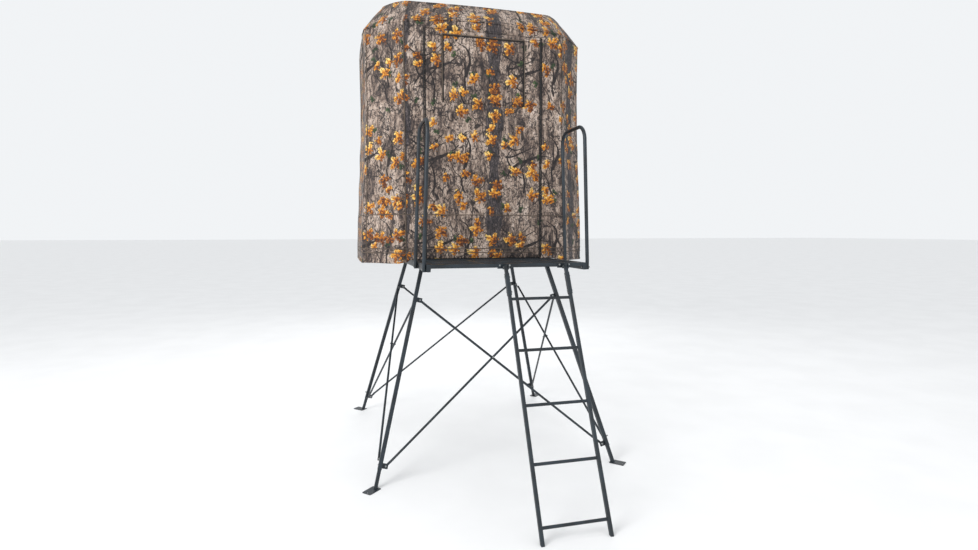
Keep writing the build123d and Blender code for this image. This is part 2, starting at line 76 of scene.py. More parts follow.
class Body(Enum):
    """The bodies of the frame that cloth pieces ride on."""

    TOWER = "tower"
    DOOR = "door"
    WINDOW_DOOR = "window_door"
    WINDOW_LEFT = "window_left"
    WINDOW_RIGHT = "window_right"
    WINDOW_REAR = "window_rear"


class Wall(Enum):
    """The numbered faces of the eight-sided blind that carry openings."""

    FRONT = 0
    RIGHT = 2
    REAR = 4
    LEFT = 6


def tone(red: int, green: int, blue: int) -> Colour:
    """Turns display values into the linear values that shaders use.

    Args:
        red: Red from 0 to 255.
        green: Green from 0 to 255.
        blue: Blue from 0 to 255.

    Returns:
        The linear colour.
    """
    def linear(value: int) -> float:
        share = value / 255
        return share / 12.92 if share <= 0.04045 else ((share + 0.055) / 1.055) ** 2.4
    return linear(red), linear(green), linear(blue)


def smooth(value: float, low: float, high: float) -> float:
    """Eases from 0 at low to 1 at high.

    Args:
        value: The value to test.
        low: Where the result starts to leave 0.
        high: Where the result reaches 1.

    Returns:
        The eased share.
    """
    share = min(max((value - low) / (high - low), 0.0), 1.0)
    return share * share * (3 - 2 * share)


def divided(marks: Sequence[float], step: float) -> list[float]:
    """Divides a stretch between marks.

    Args:
        marks: Places that must be hit, in order.
        step: The largest spacing.

    Returns:
        The places.
    """
    found = [marks[0]]
    for low, high in zip(marks, marks[1:]):
        count = max(1, math.ceil((high - low) / step))
        found += [low + (high - low) * k / count for k in range(1, count + 1)]
    return found


class Graph:
    """A short way to write a material as arithmetic on sockets."""

    def __init__(self, name: str) -> None:
        """Starts an empty material with one surface shader.

        Args:
            name: The material's name.
        """
        self.material = bpy.data.materials.new(name)
        self.material.use_nodes = True
        self.tree = self.material.node_tree
        self.tree.nodes.clear()
        self.output = self.tree.nodes.new("ShaderNodeOutputMaterial")
        self.surface = self.tree.nodes.new("ShaderNodeBsdfPrincipled")
        self.tree.links.new(self.surface.outputs[0], self.output.inputs[0])

    def put(self, socket: Socket, value: object) -> None:
        """Sets a socket to a number or colour, or links another socket to it.

        Args:
            socket: The input socket.
            value: A number, a colour, a vector or an output socket.
        """
        if isinstance(value, bpy.types.NodeSocket):
            self.tree.links.new(value, socket)
        elif isinstance(value, tuple) and socket.type == "RGBA":
            socket.default_value = (*value, 1.0)
        else:
            socket.default_value = value

    def node(self, kind: str, **settings: object) -> bpy.types.Node:
        """Adds a node and sets its properties.

        Args:
            kind: The node's class name without its common start.
            settings: Properties of the node.

        Returns:
            The new node.
        """
        node = self.tree.nodes.new(f"ShaderNode{kind}")
        for key, value in settings.items():
            setattr(node, key, value)
        return node

    def math(self, operation: str, first: Value, second: Value = 0.0, third: Value = 0.0) -> Socket:
        """Does one step of arithmetic.

        Args:
            operation: The operation's name.
            first: The first value.
            second: The second value.
            third: The third value.

        Returns:
            The result.
        """
        node = self.node("Math", operation=operation)
        for socket, value in zip(node.inputs, (first, second, third)):
            self.put(socket, value)
        return node.outputs[0]

    def scaled(self, vector: Socket, scale: Sequence[float], shift: Sequence[float] = (0, 0, 0)) -> Socket:
        """Stretches and moves a texture space.

        Args:
            vector: The space to change.
            scale: Repeats per metre along each direction.
            shift: What is added after scaling.

        Returns:
            The changed space.
        """
        node = self.node("VectorMath", operation="MULTIPLY_ADD")
        self.put(node.inputs[0], vector)
        self.put(node.inputs[1], tuple(scale))
        self.put(node.inputs[2], tuple(shift))
        return node.outputs[0]

    def grain(self, vector: Socket, detail: float = 3.0, rough: float = 0.5, bend: float = 0.0) -> Socket:
        """Adds a cloudy pattern.

        Args:
            vector: The space, already scaled.
            detail: How many finer layers it has.
            rough: How strong the finer layers are.
            bend: How far the pattern is distorted.

        Returns:
            A value around one half.
        """
        node = self.node("TexNoise")
        self.put(node.inputs["Vector"], vector)
        self.put(node.inputs["Scale"], 1.0)
        self.put(node.inputs["Detail"], detail)
        self.put(node.inputs["Roughness"], rough)
        self.put(node.inputs["Distortion"], bend)
        return node.outputs["Fac"]

    def fade(self, value: Value, low: float, high: float, start: float = 0.0, end: float = 1.0) -> Socket:
        """Eases a value from one range to another.

        Args:
            value: The value.
            low: Where the easing starts.
            high: Where the easing ends.
            start: The result at low.
            end: The result at high.

        Returns:
            The eased value.
        """
        node = self.node("MapRange", interpolation_type="SMOOTHSTEP")
        for socket, number in zip(node.inputs, (value, low, high, start, end)):
            self.put(socket, number)
        return node.outputs[0]

    def mix(self, share: Value, first: object, second: object, blend: str = "MIX") -> Socket:
        """Mixes two colours.

        Args:
            share: How much of the second colour is used.
            first: The first colour or socket.
            second: The second colour or socket.
            blend: How they are combined.

        Returns:
            The mixed colour.
        """
        node = self.node("Mix", data_type="RGBA", blend_type=blend)
        self.put(node.inputs[0], share)
        self.put(node.inputs[6], first)
        self.put(node.inputs[7], second)
        return node.outputs[2]

    def ramp(self, value: Socket, stops: Sequence[tuple[float, Colour]]) -> Socket:
        """Turns a value into a colour.

        Args:
            value: The value from 0 to 1.
            stops: Positions with their colours.

        Returns:
            The colour.
        """
        node = self.node("ValToRGB")
        band = node.color_ramp
        while len(band.elements) < len(stops):
            band.elements.new(0.5)
        for element, (position, colour) in zip(band.elements, stops):
            element.position = position
            element.color = (*colour, 1.0)
        self.put(node.inputs[0], value)
        return node.outputs[0]

    def parts(self, vector: Socket) -> tuple[Socket, Socket, Socket]:
        """Splits a vector.

        Args:
            vector: The vector.

        Returns:
            Its three values.
        """
        node = self.node("SeparateXYZ")
        self.put(node.inputs[0], vector)
        return node.outputs[0], node.outputs[1], node.outputs[2]

    def bump(self, height: Socket, distance: float, strength: float = 1.0) -> None:
        """Raises the surface by a height pattern.

        Args:
            height: The pattern.
            distance: Its depth in metres.
            strength: How much of it is used.
        """
        node = self.node("Bump")
        self.put(node.inputs["Height"], height)
        self.put(node.inputs["Distance"], distance)
        self.put(node.inputs["Strength"], strength)
        self.put(self.surface.inputs["Normal"], node.outputs[0])

    def finish(self, colour: object, rough: Value, metal: float = 0.0) -> bpy.types.Material:
        """Sets the surface and hands over the material.

        Args:
            colour: The base colour.
            rough: The roughness.
            metal: How metallic it is.

        Returns:
            The finished material.
        """
        self.put(self.surface.inputs["Base Color"], colour)
        self.put(self.surface.inputs["Roughness"], rough)
        self.put(self.surface.inputs["Metallic"], metal)
        return self.material


@dataclass(frozen=True)
class PowderCoat:
    """Dark textured powder coat on steel tube, thin on a few rubbed spots."""

    name: str = "powder coat"
    dark: Colour = field(default_factory=lambda: tone(17, 23, 28))
    light: Colour = field(default_factory=lambda: tone(34, 45, 53))
    rubbed: Colour = field(default_factory=lambda: tone(74, 80, 86))

    def build(self) -> bpy.types.Material:
        """Builds the material.

        Returns:
            The material.
        """
        graph = Graph(self.name)
        space = graph.node("TexCoord").outputs["Object"]
        clouds = graph.grain(graph.scaled(space, (7, 7, 7)), 4, 0.6)
        pebbles = graph.grain(graph.scaled(space, (900, 900, 900)), 2, 0.5)
        marks = graph.grain(graph.scaled(space, (60, 60, 25)), 5, 0.7, 0.4)
        colour = graph.mix(graph.fade(clouds, 0.3, 0.7), self.dark, self.light)
        colour = graph.mix(graph.fade(marks, 0.70, 0.78, 0, 0.6), colour, self.rubbed)
        graph.bump(pebbles, 0.0004, 0.35)
        graph.put(graph.surface.inputs["Coat Weight"], 0.15)
        graph.put(graph.surface.inputs["Coat Roughness"], 0.3)
        return graph.finish(colour, graph.fade(clouds, 0.2, 0.8, 0.36, 0.52), 0.25)


@dataclass(frozen=True)
class ZincPlate:
    """Zinc-plated steel with a cloudy passivated surface."""

    name: str = "zinc plate"
    bright: Colour = field(default_factory=lambda: tone(176, 178, 176))
    dull: Colour = field(default_factory=lambda: tone(120, 122, 124))

    def build(self) -> bpy.types.Material:
        """Builds the material.

        Returns:
            The material.
        """
        graph = Graph(self.name)
        space = graph.node("TexCoord").outputs["Object"]
        spangle = graph.grain(graph.scaled(space, (160, 160, 160)), 3, 0.6)
        turning = graph.grain(graph.scaled(space, (900, 900, 120)), 2, 0.5)
        colour = graph.mix(graph.fade(spangle, 0.35, 0.65), self.dull, self.bright)
        graph.bump(turning, 0.0002, 0.3)
        return graph.finish(colour, graph.fade(spangle, 0.3, 0.7, 0.28, 0.45), 1.0)


@dataclass(frozen=True)
class Branch:
    """A printed branch: a line across or up one repeat of the print, drawn through a few knots."""

    upright: bool
    knots: tuple[tuple[float, float], ...]
    width: float


def grow_branches(count: int, seed: int) -> list[Branch]:
    """Grows the branches of one repeat of the print by chance.

    Args:
        count: How many branches there are.
        seed: What the chances start from.

    Returns:
        The branches, upright and level ones by turns.
    """
    chance = random.Random(seed)
    grown: list[Branch] = []
    for index in range(count):
        start, length = chance.uniform(0.02, 0.45), chance.uniform(0.32, 0.52)
        side = chance.uniform(0.22, 0.78)
        slope = chance.uniform(-0.24, 0.24)
        bow = chance.uniform(-0.12, 0.12)
        knots = []
        for share in (0.0, 0.25, 0.5, 0.75, 1.0):
            value = side + slope * (share - 0.5) + bow * math.sin(math.pi * share)
            value += chance.uniform(-0.02, 0.02)
            knots.append((start + length * share, min(max(value, 0.03), 0.97)))
        grown.append(Branch(index % 2 == 0, tuple(knots), chance.uniform(0.0040, 0.0075)))
    return grown


@dataclass(frozen=True)
class LeafPrint:
    """Polyester cloth printed with grey bark, rough dark trunks, branches and oak leaves."""

    name: str = "leaf print cloth"
    wide: float = 0.80
    tall: float = 0.75
    branches: int = 10
    seed: int = 11
    trunk: float = 0.058
    trunk_place: float = 0.44
    repeat_shift: float = 0.07
    wash: Colour = (0.80, 0.75, 0.73)

    def branch(self, graph: Graph, across: Socket, up: Socket, shape: Branch, waver: Socket) -> Socket:
        """Draws one branch.

        Args:
            graph: The material being written.
            across: The place across the repeat, from 0 to 1.
            up: The place up the repeat, from 0 to 1.
            shape: The branch.
            waver: An uneven value that roughens it.

        Returns:
            1 on the branch and 0 beside it.
        """
        run, side = (up, across) if shape.upright else (across, up)
        size = self.wide if shape.upright else self.tall
        node = graph.node("FloatCurve")
        curve = node.mapping.curves[0]
        while len(curve.points) < len(shape.knots):
            curve.points.new(0.5, 0.5)
        for point, knot in zip(curve.points, shape.knots):
            point.location = knot
        node.mapping.update()
        graph.put(node.inputs["Value"], run)
        start, end = shape.knots[0][0], shape.knots[-1][0]
        away = graph.math("ABSOLUTE", graph.math("SUBTRACT", side, node.outputs[0]))
        reach = graph.math("MULTIPLY", away, size)
        thin = graph.fade(run, start, end, shape.width * 2.0, shape.width * 0.9)
        reach = graph.math("SUBTRACT", reach, graph.math("MULTIPLY_ADD", waver, shape.width * 2.4, thin))
        line = graph.fade(reach, -0.0012, 0.0012, 1, 0)
        inside = graph.math("MULTIPLY", graph.math("GREATER_THAN", run, start + 0.001),
                            graph.math("LESS_THAN", run, end - 0.001))
        return graph.math("MULTIPLY", line, inside)

    def clusters(self, graph: Graph, space: Socket, under: Socket, pitch: float, shift: Sequence[float],
                 share: float, size: float, points: float,
                 palette: Sequence[tuple[float, Colour]]) -> Socket:
        """Prints one layer of scattered leaf clusters.

        Args:
            graph: The material being written.
            space: The cloth's own space in metres.
            under: The colour beneath.
            pitch: The spacing of the clusters in metres.
            shift: Where this layer's scatter starts.
            share: How many of the places carry a cluster, from 0 to 1.
            size: The reach of a cluster in spacings.
            points: Half the number of leaves in a cluster.
            palette: The colours from the middle to the tips.

        Returns:
            The colour with the clusters printed on it.
        """
        scale = 1 / pitch
        torn = graph.grain(graph.scaled(space, (52, 46, 0), shift), 3, 0.6)
        cell_space = graph.scaled(space, (scale, scale, 0), shift)
        cells = graph.node("TexVoronoi", voronoi_dimensions="2D")
        graph.put(cells.inputs["Vector"], cell_space)
        graph.put(cells.inputs["Scale"], 1.0)
        graph.put(cells.inputs["Randomness"], 0.75)
        local = graph.node("VectorMath", operation="SUBTRACT")
        graph.put(local.inputs[0], cell_space)
        graph.put(local.inputs[1], cells.outputs["Position"])
        chance, pick, turn = graph.parts(cells.outputs["Color"])
        east, north, _ = graph.parts(local.outputs[0])
        length = graph.node("VectorMath", operation="LENGTH")
        graph.put(length.inputs[0], local.outputs[0])
        radius = length.outputs["Value"]
        angle = graph.math("ADD", graph.math("ARCTAN2", north, east), graph.math("MULTIPLY", turn, math.tau))
        petal = graph.math("ABSOLUTE", graph.math("COSINE", graph.math("MULTIPLY", angle, points)))
        lobe_turn = graph.math("MULTIPLY_ADD", radius, 46.0, graph.math("MULTIPLY", pick, 5.0))
        lobes = graph.math("COSINE", lobe_turn)
        edge = graph.math("MULTIPLY_ADD", graph.math("POWER", petal, 0.8), 0.78, 0.22)
        lean = graph.math("COSINE", graph.math("MULTIPLY_ADD", pick, 7.0, angle))
        edge = graph.math("MULTIPLY", edge, graph.math("MULTIPLY_ADD", lean, 0.42, 0.80))
        edge = graph.math("MULTIPLY_ADD", lobes, 0.09, edge)
        edge = graph.math("ADD", edge, graph.math("MULTIPLY_ADD", torn, 1.5, -0.75))
        rim = graph.math("SUBTRACT", graph.math("MULTIPLY", edge, size), radius)
        shown = graph.math("LESS_THAN", chance, share)
        leaf = graph.math("MULTIPLY", graph.fade(rim, 0.0, 0.02), shown)
        halo = graph.math("MULTIPLY", graph.fade(rim, -0.06, 0.0, 0, 0.5), shown)
        tint = graph.math("MULTIPLY_ADD", radius, 0.40 / size, graph.math("MULTIPLY_ADD", torn, 2.6, -1.25))
        tint = graph.math("MULTIPLY_ADD", graph.math("SUBTRACT", north, east), 0.9, tint)
        tint = graph.math("MULTIPLY_ADD", pick, 0.25, tint)
        body = graph.ramp(tint, palette)
        rib = graph.math("MULTIPLY", graph.fade(petal, 0.965, 0.995, 0, 0.6), graph.fade(rim, 0.02, 0.06))
        body = graph.mix(rib, body, palette[0][1])
        colour = graph.mix(halo, under, tone(44, 36, 32))
        return graph.mix(leaf, colour, body)

    def bark(self, graph: Graph, space: Socket) -> Socket:
        """Prints the pale bark beneath everything else.

        Args:
            graph: The material being written.
            space: The cloth's own space in metres.

        Returns:
            The colour.
        """
        streaks = graph.grain(graph.scaled(space, (40, 9, 0)), 6, 0.7, 0.9)
        patches = graph.grain(graph.scaled(space, (6, 3.4, 0), (3.1, 0.4, 0)), 4, 0.6, 0.8)
        value = graph.math("MULTIPLY_ADD", streaks, 0.48, graph.math("MULTIPLY", patches, 0.52))
        colour = graph.ramp(value, [(0.38, tone(44, 38, 38)), (0.44, tone(92, 80, 74)),
                                    (0.49, tone(142, 126, 114)), (0.54, tone(186, 170, 156)),
                                    (0.62, tone(216, 202, 190))])
        scratches = (((13, 9, 0), (2, 7, 0), 0.020, 0.88), ((24, 16, 0), (6, 1, 0), 0.028, 0.8))
        for scale, shift, width, depth in scratches:
            field_value = graph.grain(graph.scaled(space, scale, shift), 2, 0.5, 1.1)
            contour = graph.math("ABSOLUTE", graph.math("SUBTRACT", field_value, 0.5))
            scratch = graph.fade(contour, width * 0.5, width * 1.6, depth, 0)
            colour = graph.mix(scratch, colour, tone(42, 36, 38))
        return colour

    def build(self) -> bpy.types.Material:
        """Builds the material.

        Returns:
            The material.
        """
        graph = Graph(self.name)
        space = graph.node("UVMap", uv_map="print").outputs[0]
        across, up, _ = graph.parts(space)
        waver = graph.math("SUBTRACT", graph.grain(graph.scaled(space, (38, 30, 0)), 3, 0.6), 0.5)
        rough_bark = graph.grain(graph.scaled(space, (30, 11, 0), (8, 3, 0)), 6, 0.75, 0.5)
        ragged = graph.math("SUBTRACT", rough_bark, 0.5)
        sway = graph.math("SUBTRACT", graph.grain(graph.scaled(space, (5.0, 4.0, 0)), 2, 0.5), 0.5)
        tile_across = graph.math("FRACT", graph.math("MULTIPLY_ADD", sway, 0.045, graph.math(
            "MULTIPLY_ADD", across, 1 / self.wide, self.repeat_shift)))
        tile_up = graph.math("FRACT", graph.math("MULTIPLY_ADD", sway, 0.05, graph.math(
            "MULTIPLY", up, 1 / self.tall)))
        colour = self.bark(graph, space)
        wave = graph.math("ABSOLUTE", graph.math("SUBTRACT", graph.math("FRACT", graph.math(
            "ADD", tile_across, self.trunk_place)), 0.5))
        reach = graph.math("MULTIPLY_ADD", wave, self.wide, graph.math("MULTIPLY", ragged, self.trunk * 1.3))
        swell = graph.math("COSINE", graph.math("MULTIPLY_ADD", up, math.tau / self.tall, 0.8))
        limit = graph.math("MULTIPLY_ADD", swell, self.trunk * 0.28, self.trunk)
        band = graph.fade(graph.math("SUBTRACT", reach, limit), -0.003, 0.004, 0.94, 0)
        rind = graph.grain(graph.scaled(space, (85, 20, 0), (4, 4, 0)), 5, 0.75, 1.4)
        dark = graph.ramp(rind, [(0.38, tone(14, 14, 18)), (0.50, tone(38, 36, 42)),
                                 (0.58, tone(82, 76, 80)), (0.68, tone(150, 138, 132))])
        colour = graph.mix(band, colour, dark)
        wood = graph.mix(graph.fade(waver, -0.1, 0.15), tone(20, 16, 18), tone(52, 42, 40))
        for shape in grow_branches(self.branches, self.seed):
            colour = graph.mix(self.branch(graph, tile_across, tile_up, shape, waver), colour, wood)
        twigs = graph.grain(graph.scaled(space, (6.0, 5.0, 0), (9, 4, 0)), 2, 0.45, 0.6)
        contour = graph.math("ABSOLUTE", graph.math("SUBTRACT", twigs, 0.52))
        colour = graph.mix(graph.fade(contour, 0.006, 0.012, 0.9, 0), colour, tone(34, 28, 28))
        amber = [(0.0, tone(70, 34, 10)), (0.25, tone(146, 80, 16)), (0.5, tone(214, 138, 28)),
                 (0.75, tone(238, 172, 54)), (1.0, tone(255, 222, 132))]
        green = [(0.0, tone(20, 32, 18)), (0.5, tone(44, 66, 36)), (1.0, tone(92, 112, 70))]
        colour = self.clusters(graph, space, colour, 0.150, (4.2, 1.7, 0), 0.34, 0.22, 1.5, green)
        colour = self.clusters(graph, space, colour, 0.165, (0.3, 0.6, 0), 0.50, 0.42, 2.5, amber)
        colour = self.clusters(graph, space, colour, 0.128, (5.1, 2.2, 0), 0.34, 0.38, 1.5, amber)
        crumple = graph.grain(graph.scaled(space, (16, 9, 0)), 4, 0.55, 0.7)
        weave = graph.node("TexChecker")
        graph.put(weave.inputs["Vector"], space)
        graph.put(weave.inputs["Scale"], 700.0)
        colour = graph.mix(0.05, colour, weave.outputs["Color"], "MULTIPLY")
        colour = graph.mix(1.0, colour, self.wash, "MULTIPLY")
        graph.bump(crumple, 0.006, 0.5)
        graph.put(graph.surface.inputs["Sheen Weight"], 0.04)
        graph.put(graph.surface.inputs["Sheen Roughness"], 0.6)
        return graph.finish(colour, graph.fade(crumple, 0.3, 0.7, 0.72, 0.86))


@dataclass(frozen=True)
class PlainWeave:
    """A plain dyed cloth, tape or webbing with visible threads."""

    name: str
    colour: Colour
    thread: float = 0.0016
    rough: float = 0.85

    def build(self) -> bpy.types.Material:
        """Builds the material.

        Returns:
            The material.
        """
        graph = Graph(self.name)
        space = graph.node("UVMap", uv_map="print").outputs[0]
        scale = 1 / self.thread
        ribs = graph.node("TexWave", wave_type="BANDS", bands_direction="DIAGONAL")
        graph.put(ribs.inputs["Vector"], graph.scaled(space, (scale, scale, 0)))
        graph.put(ribs.inputs["Scale"], 0.5)
        graph.put(ribs.inputs["Distortion"], 0.6)
        fade = graph.grain(graph.scaled(space, (5, 5, 0)), 4, 0.6)
        low = tuple(part * 0.65 for part in self.colour)
        high = tuple(min(part * 1.35, 1.0) for part in self.colour)
        colour = graph.mix(graph.fade(fade, 0.3, 0.7), low, high)
        colour = graph.mix(graph.fade(ribs.outputs["Fac"], 0.2, 0.8, 0, 0.3), colour, low)
        graph.bump(ribs.outputs["Fac"], 0.0006, 0.6)
        return graph.finish(colour, graph.fade(fade, 0.2, 0.8, self.rough - 0.08, self.rough + 0.05))


@dataclass(frozen=True)
class Rubber:
    """Moulded black rubber or plastic with a fine grain."""

    name: str = "moulded rubber"
    colour: Colour = field(default_factory=lambda: tone(28, 28, 29))

    def build(self) -> bpy.types.Material:
        """Builds the material.

        Returns:
            The material.
        """
        graph = Graph(self.name)
        space = graph.node("TexCoord").outputs["Object"]
        skin = graph.grain(graph.scaled(space, (700, 700, 700)), 3, 0.6)
        dust = graph.grain(graph.scaled(space, (18, 18, 18)), 4, 0.6)
        colour = graph.mix(graph.fade(dust, 0.5, 0.8, 0, 0.5), self.colour, tone(70, 68, 64))
        graph.bump(skin, 0.0003, 0.5)
        return graph.finish(colour, graph.fade(dust, 0.3, 0.7, 0.55, 0.75))


@dataclass(frozen=True)
class StudioFloor:
    """A plain pale floor with a faint mottle."""

    name: str = "studio floor"

    def build(self) -> bpy.types.Material:
        """Builds the material.

        Returns:
            The material.
        """
        graph = Graph(self.name)
        space = graph.node("TexCoord").outputs["Object"]
        mottle = graph.grain(graph.scaled(space, (1.5, 1.5, 1.5)), 3, 0.5)
        colour = graph.mix(graph.fade(mottle, 0.3, 0.7), (0.86, 0.86, 0.86), (0.89, 0.89, 0.89))
        return graph.finish(colour, 0.85)


@dataclass(frozen=True)
class Station:
    """One place on the blind's outline."""

    face: int
    share: float
    along: float
    outward: Vector
    nudge: float = 0.0

    def midway(self) -> float:
        """Tells how far the station is from the ends of its side.

        Returns:
            0 at both ends and 1 halfway.
        """
        return math.sin(math.pi * min(max(self.share, 0.0), 1.0))


@dataclass(frozen=True)
class Opening:
    """A cut in a wall, in metres along its face and above the ground."""

    face: int
    start: float
    end: float
    sill: float
    head: float

    def holds(self, face: int, distance: float, height: float) -> bool:
        """Tells whether a point lies in the opening.

        Args:
            face: The point's face.
            distance: Metres along that face.
            height: Metres above the ground.

        Returns:
            True inside the opening.
        """
        inside = self.start < distance < self.end and self.sill < height < self.head
        return face == self.face and inside


class Outline:
    """The eight-sided plan of the blind, with slightly rounded corners."""

    def __init__(self) -> None:
        """Reads the plan from the cloth walls of the frame."""
        front_low, front_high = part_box("cover_front")
        self.half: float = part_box("cover_right")[1].x
        self.front: float = front_low.y
        self.rear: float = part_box("cover_rear")[1].y
        self.cut: float = self.half - front_high.x
        self.middle = Vector((0, (self.front + self.rear) / 2, 0))
        self.turn: float = 0.020
        self.base = self.corners(0.0)
        self.lengths = [(self.base[(i + 1) % 8] - self.base[i]).length for i in range(8)]
        self.starts = [sum(self.lengths[:i]) for i in range(8)]
        self.around: float = sum(self.lengths)
        joint = next(joint for joint in frame["joints"] if joint["name"] == "door_hinge")
        self.hinge: float = joint["pos_m"][0] - self.base[0].x
        self.sill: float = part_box("window_flap_door")[0].z

    def corners(self, inset: float) -> list[Vector]:
        """Gives the eight corners moved inwards.

        Args:
            inset: How far the sides move inwards.

        Returns:
            The corners from the left end of the front side.
        """
        x, front, rear = self.half - inset, self.front + inset, self.rear - inset
        cut = self.cut - inset * (2 - math.sqrt(2))
        spots = [(cut - x, front), (x - cut, front), (x, front + cut), (x, rear - cut),
                 (x - cut, rear), (cut - x, rear), (-x, rear - cut), (-x, front + cut)]
        return [Vector((px, py, 0)) for px, py in spots]

    def normal(self, face: int) -> Vector:
        """Gives the outward direction of a side.

        Args:
            face: The side's number.

        Returns:
            A unit vector.
        """
        run = self.base[(face + 1) % 8] - self.base[face]
        return Vector((run.y, -run.x, 0)).normalized()

    def at(self, face: int, distance: float) -> Station:
        """Gives the station at a distance along a side.

        Args:
            face: The side's number.
            distance: Metres from its first corner.

        Returns:
            The station.
        """
        share = distance / self.lengths[face]
        return Station(face, share, self.starts[face] + distance, self.normal(face))

    def place(self, station: Station, inset: float = 0.0) -> Vector:
        """Gives the point of a station at an inset.

        Args:
            station: The station.
            inset: How far the outline has moved inwards.

        Returns:
            The point at height zero.
        """
        corners = self.corners(inset)
        first, second = corners[station.face], corners[(station.face + 1) % 8]
        return first.lerp(second, station.share) - station.outward * station.nudge

    def stations(self, step: float, breaks: dict[int, list[float]]) -> list[Station]:
        """Walks round the whole outline.

        Args:
            step: The largest spacing in metres.
            breaks: Distances that must be hit on each side.

        Returns:
            The stations in order, the first one repeated at the end.
        """
        found: list[Station] = []
        for face, length in enumerate(self.lengths):
            marks = sorted({self.turn, length - self.turn, *breaks.get(face, [])})
            found += [self.at(face, distance) for distance in divided(marks, step)]
            bisector = (self.normal(face) + self.normal((face + 1) % 8)).normalized()
            found.append(Station(face, 1.0, self.starts[face] + length, bisector, 0.004))
        first = found[0]
        found.append(Station(first.face, first.share, first.along + self.around, first.outward))
        return found

    def distance(self, station: Station) -> float:
        """Gives the metres from a side's first corner to a station.

        Args:
            station: The station.

        Returns:
            The distance.
        """
        return station.share * self.lengths[station.face]

    def opening(self, node: str, wall: Wall, gap: float) -> Opening:
        """Reads an opening from the rigid panel that closes it.

        Args:
            node: The panel's name.
            wall: The wall it is cut in.
            gap: The play left round the panel.

        Returns:
            The opening.
        """
        low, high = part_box(node)
        first = self.base[wall.value]
        run = (self.base[(wall.value + 1) % 8] - first).normalized()
        ends = sorted((Vector((corner.x, corner.y, 0)) - first).dot(run) for corner in (low, high))
        return Opening(wall.value, ends[0] - gap, ends[1] + gap, low.z - gap, high.z + gap)


@dataclass(frozen=True)
class Hang:
    """How the cloth hangs on its frame: flare, sag, folds and the line of the eave."""

    flare: float = 0.050
    front_flare: float = 0.012
    fold: float = 0.0055
    ripple: float = 0.0042
    hollow: float = 0.004
    hem_front: float = 1.7275
    hem_side: float = 1.700
    low: float = 1.80
    high: float = 3.652
    eave: float = 3.692
    eave_rise: float = 0.052

    def hem(self, outline: Outline, station: Station) -> float:
        """Gives the height of the hem.

        Args:
            outline: The blind's plan.
            station: Where it is asked.

        Returns:
            Metres above the ground.
        """
        wave = noise.noise(Vector((station.along * 4.0, 0.3, 5.0))) * 0.006
        side = self.hem_side + wave - 0.008 * smooth(-station.outward.x, 0.3, 0.9)
        if station.face == Wall.FRONT.value:
            reach = abs(outline.place(station).x)
            return self.hem_front + (side - self.hem_front) * smooth(reach, 0.645, 0.695)
        return side

    def edge(self, station: Station) -> float:
        """Gives the height of the eave, which rises between the posts.

        Args:
            station: Where it is asked.

        Returns:
            Metres above the ground.
        """
        rise = self.eave_rise if station.face % 2 == 0 else 0.012
        return self.eave + rise * station.midway() ** 0.8

    def height(self, outline: Outline, station: Station, level: float) -> float:
        """Moves a nominal level so that the first is the hem and the last the eave.

        Args:
            outline: The blind's plan.
            station: Where it is asked.
            level: The nominal height.

        Returns:
            The real height.
        """
        if level < self.low:
            hem = self.hem(outline, station)
            return hem + (self.low - hem) * (level - self.hem_front) / (self.low - self.hem_front)
        if level > self.high:
            share = (level - self.high) / (self.eave - self.high)
            return self.high + (self.edge(station) - self.high) * share
        return level

    def point(self, outline: Outline, station: Station, height: float, lift: float = 0.0) -> Vector:
        """Gives a point of the hanging cloth.

        Args:
            outline: The blind's plan.
            station: The place on the outline.
            height: Metres above the ground.
            lift: How far the point stands proud of the cloth.

        Returns:
            The point.
        """
        low = 1 - smooth(height, 1.70, 3.30)
        pull = self.front_flare + (self.flare - self.front_flare) * abs(station.outward.x)
        turn = station.along / outline.around * math.tau
        ring = Vector((math.cos(turn), math.sin(turn), 0))
        out = pull * low ** 1.4
        out += noise.noise(ring * 3.3 + Vector((0, 0, height * 1.7))) * self.fold
        out += noise.noise(ring * 8.5 + Vector((4, 0, height * 0.9))) * self.ripple * (0.35 + 0.65 * low)
        out += noise.noise(ring * 15.0 + Vector((0, 9, height * 7.0))) * 0.0016
        middle = station.midway()
        out -= self.hollow * middle * math.sin(math.pi * smooth(height, 1.75, 3.67))
        if station.face % 2 == 0:
            slack = math.exp(-((height - 2.45) / 0.5) ** 2) * (1 - middle) ** 2
            out += 0.004 * slack * math.sin((station.share * 9 + height * 6.0) * math.tau / 2)
        if station.face == Wall.FRONT.value:
            out *= smooth(abs(outline.distance(station) - outline.hinge), 0.0, 0.05)
        deepest = -0.003 * smooth(abs(height - outline.sill), 0.03, 0.15)
        spot = outline.place(station) + station.outward * (max(out, deepest) + lift)
        return Vector((spot.x, spot.y, height))


def make_object(name: str, points: Sequence[Vector], faces: Sequence[Sequence[int]],
                print_map: Sequence[Sequence[tuple[float, float]]]) -> bpy.types.Object:
    """Makes a smooth mesh object with its print laid on it.

    Args:
        name: The object's name.
        points: The vertices.
        faces: The corners of each face.
        print_map: The cloth coordinates of each face's corners.

    Returns:
        The object.
    """
    mesh = bpy.data.meshes.new(name)
    mesh.from_pydata([tuple(point) for point in points], [], [tuple(face) for face in faces])
    layer = mesh.uv_layers.new(name="print")
    flat = [value for face in print_map for pair in face for value in pair]
    layer.data.foreach_set("uv", flat)
    mesh.polygons.foreach_set("use_smooth", [True] * len(mesh.polygons))
    mesh.update()
    made = bpy.data.objects.new(name, mesh)
    bpy.context.scene.collection.objects.link(made)
    return made


def thicken(piece: bpy.types.Object, thickness: float, face: bpy.types.Material,
            back: bpy.types.Material) -> None:
    """Gives a sheet its thickness, with another finish on the inside.

    Args:
        piece: The sheet.
        thickness: Metres.
        face: The outer finish.
        back: The inner finish.
    """
    piece.data.materials.append(face)
    piece.data.materials.append(back)
    shell = piece.modifiers.new("thickness", "SOLIDIFY")
    shell.thickness = thickness
    shell.offset = -1.0
    shell.material_offset = 1
    shell.material_offset_rim = 1


